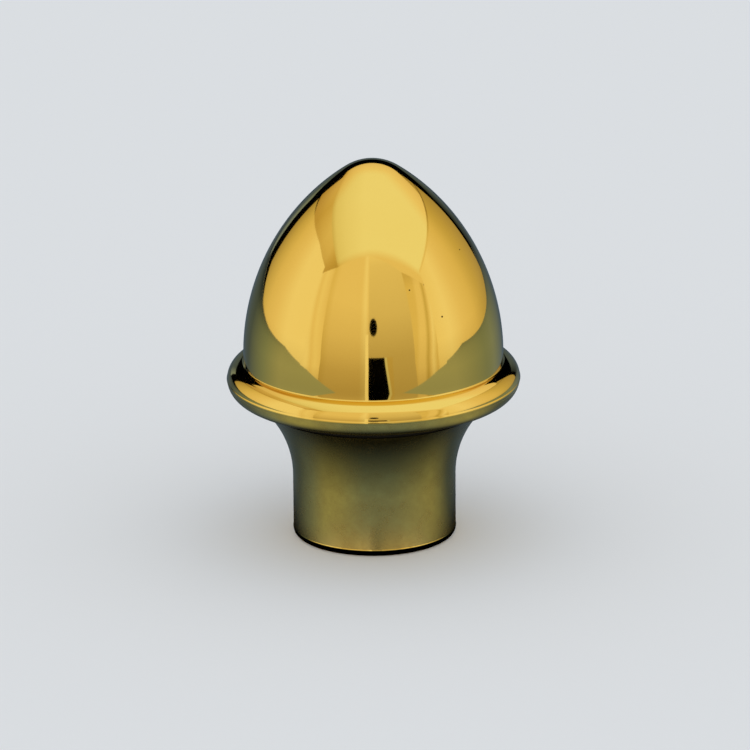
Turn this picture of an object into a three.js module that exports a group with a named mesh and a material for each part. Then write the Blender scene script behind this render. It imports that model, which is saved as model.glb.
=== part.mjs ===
// Brass flagpole finial: an acorn head over a half-round bead and a hollow-curved neck with a pole socket.
// Millimetres, +Z up. The origin is the middle of the neck's foot, where the finial stands.
import * as THREE from 'three';

// Socket that slips over the top of the pole
const poleDiameter = 25.4;
const socketClearance = 0.2;
const socketDepth = 25;
const mouthChamfer = 0.3;

// Neck: a round tube with a rounded foot, then a hollow curve that sweeps out to the bead
const neckDiameter = 30;
const footRounding = 0.8;
const straightNeckHeight = 11;
const hollowCurveRadius = 19.8;

// Bead: a half-round moulding that runs round the foot of the head
const beadRadius = 3.25;
const beadRingRadius = 23.7;
const beadHeight = 29.8;

// Head: a short upright wall, a long flank arc and a small round nose, each tangent to the next
const headDiameter = 47.7;
const wallTopHeight = 34.3;
const flankRadius = 42.7;
const noseRadius = 9.2;

// Facets: segments round the axis, and steps along each arc of the outline
const segmentsAround = 72;
const steps = { foot: 4, hollow: 8, bead: 14, flank: 15, nose: 8 };

const socketRadius = (poleDiameter + socketClearance) / 2;
const neckRadius = neckDiameter / 2;
const headRadius = headDiameter / 2;
const quarterTurn = Math.PI / 2;

// Points of an arc in the outline's plane, where x is the distance from the axis and y is the height
function arcPoints(centreX, centreY, radius, startAngle, endAngle, stepCount) {
  const points = [];
  for (let step = 0; step <= stepCount; step += 1) {
    const angle = startAngle + ((endAngle - startAngle) * step) / stepCount;
    points.push(new THREE.Vector2(centreX + radius * Math.cos(angle), centreY + radius * Math.sin(angle)));
  }
  return points;
}

// The blind socket, from the middle of its flat floor down to the chamfered mouth
function socketOutline() {
  return [
    new THREE.Vector2(0, socketDepth),
    new THREE.Vector2(socketRadius, socketDepth),
    new THREE.Vector2(socketRadius, mouthChamfer),
    new THREE.Vector2(socketRadius + mouthChamfer, 0),
  ];
}

// The rounded foot, the straight neck and the hollow curve up to the bead's underside
function neckOutline() {
  const foot = arcPoints(neckRadius - footRounding, footRounding, footRounding, -quarterTurn, 0, steps.foot);
  const undersideHeight = beadHeight - beadRadius;
  const sweep = Math.asin((undersideHeight - straightNeckHeight) / hollowCurveRadius);
  const centreX = neckRadius + hollowCurveRadius;
  const hollow = arcPoints(
    centreX, straightNeckHeight, hollowCurveRadius, Math.PI, Math.PI - sweep, steps.hollow,
  );
  return [...foot, ...hollow];
}

// The half-round bead, from its underside over to the upright wall of the head
function beadOutline() {
  const meetingAngle = Math.acos((headRadius - beadRingRadius) / beadRadius);
  return arcPoints(beadRingRadius, beadHeight, beadRadius, -quarterTurn, meetingAngle, steps.bead);
}

// The head: the flank arc leaves the wall upright and runs into the nose, which closes on the axis
function headOutline() {
  const flankEnd = Math.acos((flankRadius - headRadius) / (flankRadius - noseRadius));
  const noseHeight = wallTopHeight + (flankRadius - noseRadius) * Math.sin(flankEnd);
  const flank = arcPoints(headRadius - flankRadius, wallTopHeight, flankRadius, 0, flankEnd, steps.flank);
  const nose = arcPoints(0, noseHeight, noseRadius, flankEnd, quarterTurn, steps.nose);
  nose[nose.length - 1].x = 0;
  return [...flank, ...nose.slice(1)];
}

const brass = new THREE.MeshStandardMaterial({ color: 0xd9ae4e, roughness: 0.18, metalness: 1 });

const outline = [...socketOutline(), ...neckOutline(), ...beadOutline(), ...headOutline()];
const finial = new THREE.Mesh(new THREE.LatheGeometry(outline, segmentsAround), brass);
finial.name = 'finial';
finial.rotation.x = quarterTurn;

const group = new THREE.Group();
group.add(finial);

export default group;
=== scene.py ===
# Brass flagpole finial: a polished head and bead over a duller turned neck, standing in a light tent
import math

import bmesh
import bpy
from mathutils import Matrix, Vector


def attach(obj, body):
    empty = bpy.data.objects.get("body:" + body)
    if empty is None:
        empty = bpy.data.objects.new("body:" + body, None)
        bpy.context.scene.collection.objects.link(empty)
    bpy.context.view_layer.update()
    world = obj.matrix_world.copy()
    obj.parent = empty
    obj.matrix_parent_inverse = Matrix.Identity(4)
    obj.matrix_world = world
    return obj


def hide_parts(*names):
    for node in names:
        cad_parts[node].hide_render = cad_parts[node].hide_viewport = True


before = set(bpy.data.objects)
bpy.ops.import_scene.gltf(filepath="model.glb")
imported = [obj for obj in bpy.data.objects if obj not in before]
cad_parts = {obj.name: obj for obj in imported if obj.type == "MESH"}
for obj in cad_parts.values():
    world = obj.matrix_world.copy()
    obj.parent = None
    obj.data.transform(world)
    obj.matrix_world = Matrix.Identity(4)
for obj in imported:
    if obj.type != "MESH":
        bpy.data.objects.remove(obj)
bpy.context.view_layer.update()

mm = 0.001  # metres
quarterTurn = math.pi / 2


def linearColour(hexCode):
    # sRGB hex to the linear values that shaders and lights take
    channels = [int(hexCode[i:i + 2], 16) / 255 for i in (1, 3, 5)]
    return [c / 12.92 if c <= 0.04045 else ((c + 0.055) / 1.055) ** 2.4 for c in channels] + [1.0]


def addNode(tree, kind, settings=None, **links):
    # one node: settings are its properties or sockets, links are sockets fed by another node's output,
    # and a socket is given by its name, or by its number as i0, i1 and so on
    node = tree.nodes.new(kind)
    for name, value in (settings or {}).items():
        if name[1:].isdigit():
            node.inputs[int(name[1:])].default_value = value
        elif name in node.inputs:
            node.inputs[name].default_value = value
        else:
            setattr(node, name, value)
    for name, source in links.items():
        socket = node.inputs[int(name[1:])] if name[1:].isdigit() else node.inputs[name.replace("_", " ")]
        tree.links.new(source, socket)
    return node


def newMaterial(name):
    material = bpy.data.materials.new(name)
    material.use_nodes = True
    material.node_tree.nodes.clear()
    return material, material.node_tree


def addObject(name, bm, materials):
    mesh = bpy.data.meshes.new(name)
    bm.to_mesh(mesh)
    bm.free()
    for material in materials:
        mesh.materials.append(material)
    piece = bpy.data.objects.new(name, mesh)
    bpy.context.scene.collection.objects.link(piece)
    return piece


# Polished brass, buffed on a wheel: a mirror with slow waves, faint wheel lines round the axis, a thin uneven
# haze and a few dark casting pits
polishedBrass = {
    "colour": "#e6c465",
    "warmColour": "#e3be5b",
    "pitColour": "#33280f",
    "roughness": (0.035, 0.08),
    "hazePatch": 14 * mm,  # broad, as hands and cloths leave it
    "hazeRange": (0.35, 0.7),
    "waveLength": 9 * mm,  # slow, as buffing by hand leaves them
    "waveDepth": 0.004 * mm,
    "lineSpacing": 0.8 * mm,
    "lineDepth": 0.0003 * mm,
    "lineSquash": 0.02,  # across the axis, so that the lines run on round it
    "pitSpacing": 9 * mm,  # only a few pits come to the surface
    "pitRadius": 0.22 * mm,
    "pitCore": 0.7,  # share of a pit that is fully dark
}


def makePolishedBrass(values):
    material, tree = newMaterial("polishedBrass")
    place = addNode(tree, "ShaderNodeTexCoord").outputs["Object"]
    patches = addNode(tree, "ShaderNodeTexNoise", {"Scale": 1 / values["hazePatch"], "Detail": 4},
                      Vector=place)
    tone = addNode(tree, "ShaderNodeMix", {
        "data_type": "RGBA", "i6": linearColour(values["warmColour"]), "i7": linearColour(values["colour"]),
    }, i0=patches.outputs["Fac"])
    cells = addNode(tree, "ShaderNodeTexVoronoi", {"Scale": 1 / values["pitSpacing"]}, Vector=place)
    pitEdge = values["pitRadius"] / values["pitSpacing"]
    pits = addNode(tree, "ShaderNodeMapRange", {
        "From Min": pitEdge, "From Max": pitEdge * values["pitCore"], "To Min": 0.0, "To Max": 1.0,
    }, Value=cells.outputs["Distance"])
    pitted = addNode(tree, "ShaderNodeMix", {"data_type": "RGBA", "i7": linearColour(values["pitColour"])},
                     i0=pits.outputs["Result"], i6=tone.outputs[2])
    rough = addNode(tree, "ShaderNodeMapRange", {
        "From Min": values["hazeRange"][0], "From Max": values["hazeRange"][1],
        "To Min": values["roughness"][0], "To Max": values["roughness"][1],
    }, Value=patches.outputs["Fac"])
    waves = addNode(tree, "ShaderNodeTexNoise", {"Scale": 1 / values["waveLength"], "Detail": 1},
                    Vector=place)
    waveBump = addNode(tree, "ShaderNodeBump", {"Distance": values["waveDepth"]}, Height=waves.outputs["Fac"])
    squash = addNode(tree, "ShaderNodeMapping", {"Scale": (values["lineSquash"], values["lineSquash"], 1)},
                     Vector=place)
    lines = addNode(tree, "ShaderNodeTexNoise", {"Scale": 1 / values["lineSpacing"], "Detail": 3},
                    Vector=squash.outputs["Vector"])
    lineBump = addNode(tree, "ShaderNodeBump", {"Distance": values["lineDepth"]},
                       Height=lines.outputs["Fac"], Normal=waveBump.outputs["Normal"])
    shader = addNode(tree, "ShaderNodeBsdfPrincipled", {"Metallic": 1.0},
                     Base_Color=pitted.outputs[2], Roughness=rough.outputs["Result"],
                     Normal=lineBump.outputs["Normal"])
    addNode(tree, "ShaderNodeOutputMaterial", Surface=shader.outputs["BSDF"])
    return material


# Turned brass, as the lathe left it: a blurred sheen with fine feed marks, a faint grain and brown tarnish
turnedBrass = {
    "colour": "#dec878",
    "tarnish": "#a4864c",
    "roughness": (0.2, 0.3),
    "patch": 3.5 * mm,  # blotches, as damp leaves them when it dries
    "patchRange": (0.3, 0.7),
    "feedMark": 0.4 * mm,
    "feedDepth": 0.0012 * mm,
    "feedSquash": 0.03,  # across the axis, so that the marks run on round it
    "grain": 0.35 * mm,
    "grainDepth": 0.0012 * mm,
}


def makeTurnedBrass(values):
    material, tree = newMaterial("turnedBrass")
    place = addNode(tree, "ShaderNodeTexCoord").outputs["Object"]
    patches = addNode(tree, "ShaderNodeTexNoise", {
        "Scale": 1 / values["patch"], "Detail": 8, "Roughness": 0.75,
    }, Vector=place)
    tone = addNode(tree, "ShaderNodeMix", {
        "data_type": "RGBA", "i6": linearColour(values["tarnish"]), "i7": linearColour(values["colour"]),
    }, i0=patches.outputs["Fac"])
    rough = addNode(tree, "ShaderNodeMapRange", {
        "From Min": values["patchRange"][0], "From Max": values["patchRange"][1],
        "To Min": values["roughness"][1], "To Max": values["roughness"][0],
    }, Value=patches.outputs["Fac"])
    squash = addNode(tree, "ShaderNodeMapping", {"Scale": (values["feedSquash"], values["feedSquash"], 1)},
                     Vector=place)
    marks = addNode(tree, "ShaderNodeTexNoise", {"Scale": 1 / values["feedMark"], "Detail": 2},
                    Vector=squash.outputs["Vector"])
    markBump = addNode(tree, "ShaderNodeBump", {"Distance": values["feedDepth"]}, Height=marks.outputs["Fac"])
    grain = addNode(tree, "ShaderNodeTexNoise", {"Scale": 1 / values["grain"], "Detail": 2}, Vector=place)
    grainBump = addNode(tree, "ShaderNodeBump", {"Distance": values["grainDepth"]},
                        Height=grain.outputs["Fac"], Normal=markBump.outputs["Normal"])
    shader = addNode(tree, "ShaderNodeBsdfPrincipled", {"Metallic": 1.0}, Base_Color=tone.outputs[2],
                     Roughness=rough.outputs["Result"], Normal=grainBump.outputs["Normal"])
    addNode(tree, "ShaderNodeOutputMaterial", Surface=shader.outputs["BSDF"])
    return material


# Painted shade in the groove under the bead, where the recess lies in shadow: dark and quite matt
paintedGrooveShade = {"colour": "#15110a", "roughness": 0.85}


def makePaintedGrooveShade(values):
    material, tree = newMaterial("paintedGrooveShade")
    shader = addNode(tree, "ShaderNodeBsdfPrincipled", {
        "Base Color": linearColour(values["colour"]), "Roughness": values["roughness"],
        "Specular IOR Level": 0.2,
    })
    addNode(tree, "ShaderNodeOutputMaterial", Surface=shader.outputs["BSDF"])
    return material


# Finial: the same outline as the CAD solid, in millimetres, swept finely, with three details too fine for it.
# They are a rib round the bead's widest place, where the polish stops, a groove under the bead with painted
# shade in it, and a lip just above the foot.
finialShape = {
    "neckRadius": 15.0,
    "footRounding": 0.8,
    "straightNeckHeight": 11.0,
    "hollowCurveRadius": 19.8,
    "beadRadius": 3.25,
    "beadRingRadius": 23.7,
    "beadHeight": 29.8,
    "ribHeight": 0.08,
    "ribRadius": 0.43,
    "grooveHeight": 1.85,
    "grooveDepth": 0.35,
    "grooveSlope": 0.05,  # rise of the groove's ledge
    "paintedShadeReach": 1.0,  # how far out from the groove's wall the painted shade lies
    "lipLevel": 1.1,
    "lipHalf": 0.25,
    "lipHeight": 0.06,
    "headRadius": 23.85,
    "wallTopHeight": 34.3,
    "flankRadius": 42.7,
    "noseRadius": 9.2,
    "socketRadius": 12.8,
    "socketDepth": 25.0,
    "mouthChamfer": 0.3,
    "rootFillet": 0.25,
    "hairline": 0.01,  # slack for telling which face lies where
    "mergeDistance": 0.0005,
    "sharpAngle": 30,
    "segmentsAround": 256,
    "steps": {"foot": 8, "hollow": 40, "bead": 28, "rib": 10, "lip": 6, "root": 5, "flank": 90, "nose": 40},
}


def lineTo(bm, vert, x, z):
    # draws the outline straight on from vert to a place in the XZ plane, in millimetres
    made = bmesh.ops.extrude_vert_indiv(bm, verts=[vert])["verts"][0]
    made.co = Vector((x * mm, 0, z * mm))
    return made


def arcOn(bm, vert, x, z, angle, steps):
    # draws the outline on round a centre in the XZ plane; a positive angle goes from +X up towards +Z
    made = bmesh.ops.spin(bm, geom=[vert], cent=(x * mm, 0, z * mm), axis=(0, -1, 0), angle=angle,
                          steps=steps, use_merge=False, use_duplicate=False)
    return [v for v in made["geom_last"] if isinstance(v, bmesh.types.BMVert)][0]


def makeFinial(s, materials):
    bm = bmesh.new()
    steps = s["steps"]
    socketWall = s["socketRadius"] + s["hairline"]
    vert = bmesh.ops.create_vert(bm, co=(0, 0, s["socketDepth"] * mm))["vert"][0]
    vert = lineTo(bm, vert, s["socketRadius"], s["socketDepth"])
    vert = lineTo(bm, vert, s["socketRadius"], s["mouthChamfer"])
    vert = lineTo(bm, vert, s["socketRadius"] + s["mouthChamfer"], 0)
    footCentre = s["neckRadius"] - s["footRounding"]
    vert = lineTo(bm, vert, footCentre, 0)
    vert = arcOn(bm, vert, footCentre, s["footRounding"], quarterTurn, steps["foot"])
    lipRadius = (s["lipHalf"] ** 2 + s["lipHeight"] ** 2) / (2 * s["lipHeight"])
    lipCentre = s["neckRadius"] + s["lipHeight"] - lipRadius
    vert = lineTo(bm, vert, s["neckRadius"], s["lipLevel"] - s["lipHalf"])
    vert = arcOn(bm, vert, lipCentre, s["lipLevel"], 2 * math.asin(s["lipHalf"] / lipRadius), steps["lip"])
    vert = lineTo(bm, vert, s["neckRadius"], s["straightNeckHeight"])
    beadFace = s["beadRadius"] - s["ribHeight"]
    underside = s["beadHeight"] - beadFace
    grooveFoot = underside - s["grooveHeight"]
    sweep = math.asin((grooveFoot - s["straightNeckHeight"]) / s["hollowCurveRadius"])
    hollowCentre = s["neckRadius"] + s["hollowCurveRadius"]
    vert = arcOn(bm, vert, hollowCentre, s["straightNeckHeight"], -sweep, steps["hollow"])
    grooveRadius = vert.co.x / mm - s["grooveDepth"]
    vert = lineTo(bm, vert, grooveRadius, grooveFoot + s["grooveSlope"])
    vert = lineTo(bm, vert, grooveRadius, underside)
    vert = lineTo(bm, vert, s["beadRingRadius"], underside)
    ribOffset = s["beadRadius"] - s["ribRadius"]
    ribFoot = (beadFace ** 2 - s["ribRadius"] ** 2 + ribOffset ** 2) / (2 * ribOffset)
    ribHalf = math.sqrt(beadFace ** 2 - ribFoot ** 2)
    ribOnBead = math.asin(ribHalf / beadFace)
    ribSpread = math.atan2(ribHalf, ribFoot - ribOffset)
    meeting = math.acos((s["headRadius"] - s["beadRingRadius"]) / beadFace)
    ring, level = s["beadRingRadius"], s["beadHeight"]
    vert = arcOn(bm, vert, ring, level, quarterTurn - ribOnBead, steps["bead"])
    vert = arcOn(bm, vert, ring + ribOffset, level, 2 * ribSpread, steps["rib"])
    vert = arcOn(bm, vert, ring, level, meeting - ribOnBead, steps["bead"])
    root = vert.co.z
    vert = lineTo(bm, vert, s["headRadius"], s["wallTopHeight"])
    flankEnd = math.acos((s["flankRadius"] - s["headRadius"]) / (s["flankRadius"] - s["noseRadius"]))
    vert = arcOn(bm, vert, s["headRadius"] - s["flankRadius"], s["wallTopHeight"], flankEnd, steps["flank"])
    noseHeight = s["wallTopHeight"] + (s["flankRadius"] - s["noseRadius"]) * math.sin(flankEnd)
    vert = arcOn(bm, vert, 0, noseHeight, quarterTurn - flankEnd, steps["nose"])
    vert.co.x = 0
    bmesh.ops.spin(bm, geom=bm.verts[:] + bm.edges[:], cent=(0, 0, 0), axis=(0, 0, 1), angle=math.tau,
                   steps=s["segmentsAround"], use_merge=True, use_duplicate=False)
    merge = s["mergeDistance"] * mm
    bmesh.ops.remove_doubles(bm, verts=bm.verts[:], dist=merge)
    bmesh.ops.dissolve_degenerate(bm, dist=merge, edges=bm.edges[:])
    rootRing = [e for e in bm.edges if all(abs(v.co.z - root) < merge / 5 for v in e.verts)]
    bmesh.ops.bevel(bm, geom=rootRing, affect="EDGES", offset=s["rootFillet"] * mm, segments=steps["root"],
                    profile=0.5, material=-1)
    bmesh.ops.recalc_face_normals(bm, faces=bm.faces[:])
    polished, turned, paintedShade = range(3)
    for face in bm.faces:
        middle = face.calc_center_median()
        height = middle.z / mm
        fromAxis = middle.xy.length / mm
        face.material_index = polished if height > level - ribHalf / 2 else turned
        # faces in the groove under the bead take the painted shade
        inGroove = grooveFoot < height < underside + s["hairline"]
        if inGroove and socketWall < fromAxis < grooveRadius + s["paintedShadeReach"]:
            face.material_index = paintedShade
        if height < s["lipLevel"] + s["lipHalf"] and fromAxis > footCentre:
            face.material_index = polished
        face.smooth = True
    piece = addObject("brassFinial", bm, materials)
    piece.data.set_sharp_from_angle(angle=math.radians(s["sharpAngle"]))
    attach(piece, "root")
    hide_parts("finial")
    print("finial:", len(piece.data.polygons), "faces")


# Camera: a long lens, a little above the finial, with the picture rolled by a fraction of a degree
camera = {
    "distance": 1099 * mm,
    "elevation": 18.08,
    "roll": 0.459,
    "middleHeight": 36.6 * mm,
    "pictureSize": 750,
    "middlePixel": (373.52, 341.11),
    "pixelsPerMetre": 5458.6,
    "sensor": 36.0,
    "clip": (0.01, 20),
}


def makeCamera(c):
    focus = Vector((0, 0, c["middleHeight"]))
    elevation = math.radians(c["elevation"])
    back = Vector((0, -math.cos(elevation), math.sin(elevation)))
    place = focus + back * c["distance"]
    up = Vector((0, math.sin(elevation), math.cos(elevation)))
    half = c["pictureSize"] / 2
    aside = (half - c["middlePixel"][0]) / c["pixelsPerMetre"]
    below = (half - c["middlePixel"][1]) / c["pixelsPerMetre"]
    aim = focus + Vector((1, 0, 0)) * aside - up * below
    look = (aim - place).normalized()
    right = look.cross(Vector((0, 0, 1))).normalized()
    top = right.cross(look)
    roll = math.radians(c["roll"])
    rolledRight = right * math.cos(roll) - top * math.sin(roll)
    rolledTop = right * math.sin(roll) + top * math.cos(roll)
    data = bpy.data.cameras.new("camera")
    data.sensor_width = c["sensor"]
    data.lens = c["sensor"] * c["distance"] * c["pixelsPerMetre"] / c["pictureSize"]
    data.clip_start, data.clip_end = c["clip"]
    eye = bpy.data.objects.new("camera", data)
    turn = Matrix((rolledRight, rolledTop, -look)).transposed()
    eye.matrix_world = Matrix.Translation(place) @ turn.to_4x4()
    bpy.context.scene.collection.objects.link(eye)
    bpy.context.scene.camera = eye
    print("camera: lens", round(data.lens, 1), "mm")


# Floor: a plain pale matt board, big enough for every view
floor = {"radius": 2.5, "colour": "#e6e8ea", "roughness": 0.9}


def makeFloor(f):
    material, tree = newMaterial("paleMattBoard")
    shader = addNode(tree, "ShaderNodeBsdfPrincipled", {
        "Base Color": linearColour(f["colour"]), "Roughness": f["roughness"], "Specular IOR Level": 0.0,
    })
    addNode(tree, "ShaderNodeOutputMaterial", Surface=shader.outputs["BSDF"])
    bm = bmesh.new()
    bmesh.ops.create_circle(bm, cap_ends=True, segments=96, radius=f["radius"])
    board = addObject("floor", bm, [material])


# Light tent: cards and cloths round the finial, which only the brass sees. They glow as the tent's light, and
# their tones paint the light and shade of its cloths and of the floor that the brass mirrors. Sizes and places
# are in metres.
# An apron runs on over the floor, to shares of the hem's distance. Lift raises the hem, and droop lowers the
# top or, where it is negative, raises it. Each is a list from the front round, for the corners along the edge.
# Tones run along X or Y, by the bearing or rise in degrees from the finial (bearing 0 is the front, positive
# to the right), or by how far away a place is. Lean turns the bearings with the rise. In the tones a name is
# one of the shades and a number dims it as painted shade, to a warmer or cooler tone by the card's warmth.
tentPower = 1.25  # brightness of a pure white shade
eyeLevel = 0.045  # height that bearings and rises are taken from
shades = {
    "coolWhite": "#eef6fa",
    "white": "#f0eeea",
    "bright": "#ece6d8",
    "cream": "#e6dcc8",
    "sand": "#dcd0ae",
    "straw": "#c6ba8c",
    "dun": "#a49668",
    "umber": "#786a4a",
    "black": "#000000",
    "moss": "#a0a68c",
    "sage": "#98a4a8",
    "slate": "#7a8c96",
    "backSlate": "#485868",
}
tent = {
    "frontLeft": {
        "size": (0.44, 0.58), "middle": (-0.252, -0.45, 0.291), "facing": (0, 1, 0),
        "apron": [0.24, 0.235, 0.262], "warmth": 0.12,
        "tones": {
            "bearing": [(-47, "sand"), (-40, "cream"), (-12, "cream"), (-7, "white"), (-4, "cream")],
            "rise": [(-18, 0.55), (-8, 0.65), (0, 0.78), (10, 0.9), (25, 1)],
        },
    },
    "leftReturn": {
        "size": (0.478, 0.58), "middle": (-0.711, -0.45, 0.291), "facing": (0, 1, 0),
        "apron": [0.262, 0.28, 0.26], "droop": [0, -0.1, -0.2], "lean": -0.1, "warmth": 0.12,
        "tones": {
            "bearing": [(-60, "white"), (-56, "cream"), (-52, "bright"), (-46, "cream"), (-43, "sand")],
            "rise": [(-15, 0.75), (-8, 0.95), (10, 1)],
        },
    },
    "frontRight": {
        "size": (0.359, 0.58), "middle": (0.1475, -0.45, 0.291), "facing": (0, 1, 0),
        "apron": [0.24, 0.26], "droop": [0, 0.09], "warmth": 0.12,
        "tones": {
            "bearing": [(-5, "bright"), (36, "bright")],
            "rise": [(-18, 0.5), (0, 0.6), (20, 0.8), (45, 0.9), (50, 1)],
        },
    },
    "foldedCorner": {
        "size": (0.623, 0.49), "middle": (0.6385, -0.45, 0.246), "facing": (0, 1, 0),
        "apron": [0.26, 0.285, 0.265], "lean": 0.22, "warmth": 0.12,
        "tones": {
            "bearing": [(33, "sand"), (38, "sand"), (41, "cream"), (46, "cream"), (49, "straw"),
                        (52, "cream"), (54, "white"), (58, "sand"), (60, "bright"), (66, "white")],
            "rise": [(-15, 0.7), (-8, 0.85), (8, 1), (30, 1), (36, 0.85)],
        },
    },
    "hem": {
        "size": (0.02, 0.13), "middle": (-0.044, -0.449, 0.0665), "facing": (0, 1, 0),
        "apron": [0.24, 0.24], "warmth": 0.12,
        "tones": {"bearing": [(-8, "sand"), (-7, "white"), (-4, "white")], "rise": [(-18, 0.9), (-4, 1)]},
    },
    "opening": {
        "size": (0.165, 0.038), "middle": (0.0505, -0.448, 0.021), "facing": (0, 1, 0),
        "apron": [0.24, 0.24], "lean": -0.17, "warmth": 0.12,
        "tones": {
            "bearing": [(-10, "black"), (9, "black"), (9.5, "coolWhite"), (10.8, "coolWhite"), (11.5, "sand"),
                        (17, "sand")],
            "rise": [(-18, 0.6), (0, 0.7)],
        },
    },
    "lens": {
        "size": (0.054, 0.074), "middle": (0.001, -0.447, 0.16), "facing": (0, 1, 0), "round": True,
        "tones": {"rise": [(9, "umber"), (10.5, "black"), (20, "black")]},
    },
    "leftWall": {
        "size": (0.74, 0.384), "middle": (-0.45, 0.13, 0.193), "facing": (1, 0, 0), "warmth": 0.12,
        "apron": [0.53, 1, 1, 1, 1], "lift": [0, 0.008, 0.016, 0.03, 0.08],
        "droop": [-0.025, -0.03, 0, 0.02, 0.03],
        "tones": {
            "bearing": [(-138, "dun"), (-126, "straw"), (-114, "sand"), (-100, "cream"), (-84, "white"),
                        (-62, "white")],
            "rise": [(-8, 0.9), (0, 1)],
        },
    },
    "rightWall": {
        "size": (0.924, 0.395), "middle": (0.45, 0.18, 0.1985), "facing": (-1, 0, 0), "warmth": 0.12,
        "apron": [0.5, 1, 1, 1, 1], "lift": [0, 0.012, 0.004, 0, 0.01], "droop": [0, 0, 0, 0, -0.12],
        "tones": {
            "bearing": [(58, "bright"), (72, "white"), (88, "cream"), (105, "sand"), (120, "straw"),
                        (145, "dun")],
            "rise": [(-8, 0.85), (2, 1)],
        },
    },
    "leftValance": {
        "size": (1.0, 0.206), "middle": (-0.47, 0.05, 0.487), "facing": (1, 0, 0), "warmth": 0.35,
        "lift": [0.196, 0, 0, 0, 0, 0],
        "tones": {
            "bearing": [(-130, "cream"), (-110, "sand"), (-80, "bright"), (-65, "bright"), (-55, "sand"),
                        (-43, "straw")],
            "rise": [(27, 0.55), (42, 0.8), (49, 0.85), (55, 1)],
        },
    },
    # painted corner shade: a thin dark strip along the right wall's top, where it meets the cloth above,
    # darker towards the back
    "rightSeam": {
        "size": (0.924, 0.014), "middle": (0.449, 0.18, 0.401), "facing": (-1, 0, 0),
        "tones": {"bearing": [(58, "cream"), (90, "sand"), (105, "straw"), (118, "dun"), (140, "umber")]},
    },
    "ceiling": {
        "size": (1.35, 1.45), "middle": (0.185, -0.025, 0.59), "facing": (0, 0, -1), "warmth": 0.4,
        "tones": {
            "Y": [(-0.75, "cream"), (-0.47, "cream"), (-0.4, "coolWhite"), (0.1, "coolWhite"),
                  (0.3, "bright"), (0.5, "cream"), (0.7, "sand")],
            "X": [(-0.47, 0.72), (-0.42, 0.87), (-0.3, 0.94), (-0.1, 1)],
        },
    },
    "backdrop": {
        "size": (1.04, 0.27), "middle": (0, 0.9, 0.135), "facing": (0, -1, 0),
        "tones": {"X": [(-0.5, "slate"), (-0.35, "backSlate"), (0.3, "backSlate"), (0.6, "black")]},
    },
    # painted reflection of the floor: a cool sheet, darker than the board, that only the brass mirrors; darker
    # behind the finial as its painted shade, and dimmer further off
    "sheet": {
        "size": (4.8, 4.8), "middle": (0, 0, 0.0001), "facing": (0, 0, 1), "hole": 0.075, "warmth": -0.05,
        "tones": {
            "bearing": [(-135, "backSlate"), (-106, "slate"), (-85, "sage"), (72, "sage"), (110, "slate"),
                        (125, "slate"), (155, "backSlate")],
            "away": [(0.1, 0.9), (0.2, 1), (0.4, 0.9), (0.9, 0.4)],
        },
    },
    # painted contact shadow: the floor round the foot as the brass mirrors it, black by the foot and full tone
    # 44 mm out
    "footShadowSheet": {
        "size": (0.15, 0.15), "middle": (0, 0, 0.0001), "facing": (0, 0, 1), "hole": 0.0145, "warmth": -0.05,
        "tones": {
            "bearing": [(-110, "backSlate"), (-82, "slate"), (-62, "moss"), (-45, "moss"), (-12, "slate"),
                        (20, "slate"), (72, "moss"), (105, "backSlate")],
            "away": [(0.0175, 0), (0.022, 0.08), (0.027, 0.3), (0.033, 0.65), (0.044, 1)],
        },
    },
}


def cardShape(c):
    # a flat card, or a round one with or without a hole, in its place
    bm = bmesh.new()
    columns = max([2] + [len(c[edge]) for edge in ("apron", "lift", "droop") if edge in c])
    if "hole" in c:
        inner = bmesh.ops.create_circle(bm, cap_ends=False, segments=96, radius=c["hole"])["verts"]
        outer = bmesh.ops.create_circle(bm, cap_ends=False, segments=96, radius=c["size"][0] / 2)["verts"]
        rims = [e for e in bm.edges if e.verts[0] in inner or e.verts[0] in outer]
        bmesh.ops.bridge_loops(bm, edges=rims)
    elif "round" in c:
        bmesh.ops.create_circle(bm, cap_ends=True, segments=48, radius=0.5)
        bmesh.ops.scale(bm, vec=(c["size"][0], c["size"][1], 1), verts=bm.verts[:])
    else:
        bmesh.ops.create_grid(bm, x_segments=columns - 1, y_segments=1, size=0.5)
        bmesh.ops.scale(bm, vec=(c["size"][0], c["size"][1], 1), verts=bm.verts[:])
    turn = Vector(c["facing"]).to_track_quat("Z", "Y").to_matrix()
    bmesh.ops.rotate(bm, cent=(0, 0, 0), matrix=turn, verts=bm.verts[:])
    bmesh.ops.translate(bm, vec=c["middle"], verts=bm.verts[:])
    fromFront = sorted(bm.verts, key=lambda v: abs(math.atan2(v.co.x, -v.co.y)))
    hem = [v for v in fromFront if v.co.z < c["middle"][2]]
    top = [v for v in fromFront if v.co.z > c["middle"][2]]
    for vert, lift in zip(hem, c.get("lift", [])):
        vert.co.z += lift
    for vert, droop in zip(top, c.get("droop", [])):
        vert.co.z -= droop
    if "apron" in c:
        low = [e for e in bm.edges if e.verts[0] in hem and e.verts[1] in hem]
        made = bmesh.ops.extrude_edge_only(bm, edges=low)["geom"]
        nearer = sorted((v for v in made if isinstance(v, bmesh.types.BMVert)),
                        key=lambda v: abs(math.atan2(v.co.x, -v.co.y)))
        for vert, share in zip(nearer, c["apron"]):
            vert.co = (vert.co.x * share, vert.co.y * share, vert.co.z)
    return bm


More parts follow.
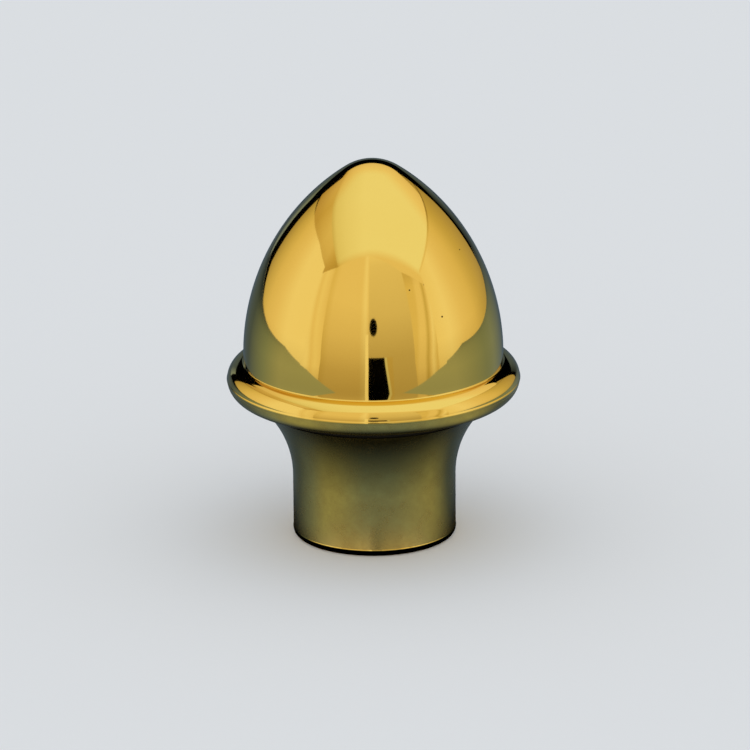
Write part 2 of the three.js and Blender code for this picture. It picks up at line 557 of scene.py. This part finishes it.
def makeCard(name, c):
    material, tree = newMaterial(name)
    place = addNode(tree, "ShaderNodeTexCoord").outputs["Object"]
    axes = addNode(tree, "ShaderNodeSeparateXYZ", Vector=place).outputs
    level = addNode(tree, "ShaderNodeVectorMath", {"operation": "MULTIPLY", "i1": (1, 1, 0)},
                    i0=place).outputs[0]
    away = addNode(tree, "ShaderNodeVectorMath", {"operation": "LENGTH"}, i0=level).outputs["Value"]
    height = addNode(tree, "ShaderNodeMath", {"operation": "SUBTRACT", "i1": eyeLevel},
                     i0=axes["Z"]).outputs[0]
    rise = addNode(tree, "ShaderNodeMath", {"operation": "ARCTAN2"}, i0=height, i1=away).outputs[0]
    front = addNode(tree, "ShaderNodeMath", {"operation": "MULTIPLY", "i1": -1.0}, i0=axes["Y"]).outputs[0]
    bearing = addNode(tree, "ShaderNodeMath", {"operation": "ARCTAN2"}, i0=axes["X"], i1=front).outputs[0]
    leant = addNode(tree, "ShaderNodeMath", {"operation": "MULTIPLY_ADD", "i1": -c.get("lean", 0.0)},
                    i0=rise, i2=bearing).outputs[0]
    measures = {"X": axes["X"], "Y": axes["Y"], "away": away, "rise": rise, "bearing": leant}
    warmth = c.get("warmth", 0.0)
    shade = None
    for measure, stops in c["tones"].items():
        unit = math.radians(1) if measure in ("rise", "bearing") else 1
        low, high = stops[0][0], stops[-1][0]
        along = addNode(tree, "ShaderNodeMapRange", {"From Min": low * unit, "From Max": high * unit},
                        Value=measures[measure])
        ramp = addNode(tree, "ShaderNodeValToRGB", Fac=along.outputs["Result"])
        elements = ramp.color_ramp.elements
        elements.remove(elements[1])
        for number, (where, tone) in enumerate(stops):
            stop = elements[0] if number == 0 else elements.new((where - low) / (high - low))
            if isinstance(tone, str):
                stop.color = linearColour(shades[tone])
            else:  # white cloth in shadow looks warmer, and a cool sheet cooler
                stop.color = (tone, tone ** (1 + warmth), tone ** (1 + 4 * warmth), 1.0)
        if shade is None:
            shade = ramp.outputs["Color"]
        else:
            product = addNode(tree, "ShaderNodeMix", {
                "data_type": "RGBA", "blend_type": "MULTIPLY", "i0": 1.0,
            }, i6=shade, i7=ramp.outputs["Color"])
            shade = product.outputs[2]
    glow = addNode(tree, "ShaderNodeEmission", {"Strength": tentPower}, Color=shade)
    addNode(tree, "ShaderNodeOutputMaterial", Surface=glow.outputs["Emission"])
    card = addObject(name, cardShape(c), [material])
    card.visible_camera = False
    card.visible_shadow = False
    card.visible_diffuse = False


# Room: an even pale light for the floor, which the brass doesn't mirror
room = {"colour": "#f2f4f6"}


def makeRoom(r):
    world = bpy.data.worlds.new("room")
    world.use_nodes = True
    world.node_tree.nodes["Background"].inputs["Color"].default_value = linearColour(r["colour"])
    world.cycles_visibility.glossy = False
    bpy.context.scene.world = world


makeCamera(camera)
makeFinial(finialShape, [
    makePolishedBrass(polishedBrass), makeTurnedBrass(turnedBrass), makePaintedGrooveShade(paintedGrooveShade),
])
makeFloor(floor)
for cardName, cardValues in tent.items():
    makeCard(cardName, cardValues)
makeRoom(room)
bpy.context.scene.view_settings.view_transform = "Standard"
print("tent:", len(tent), "cards")
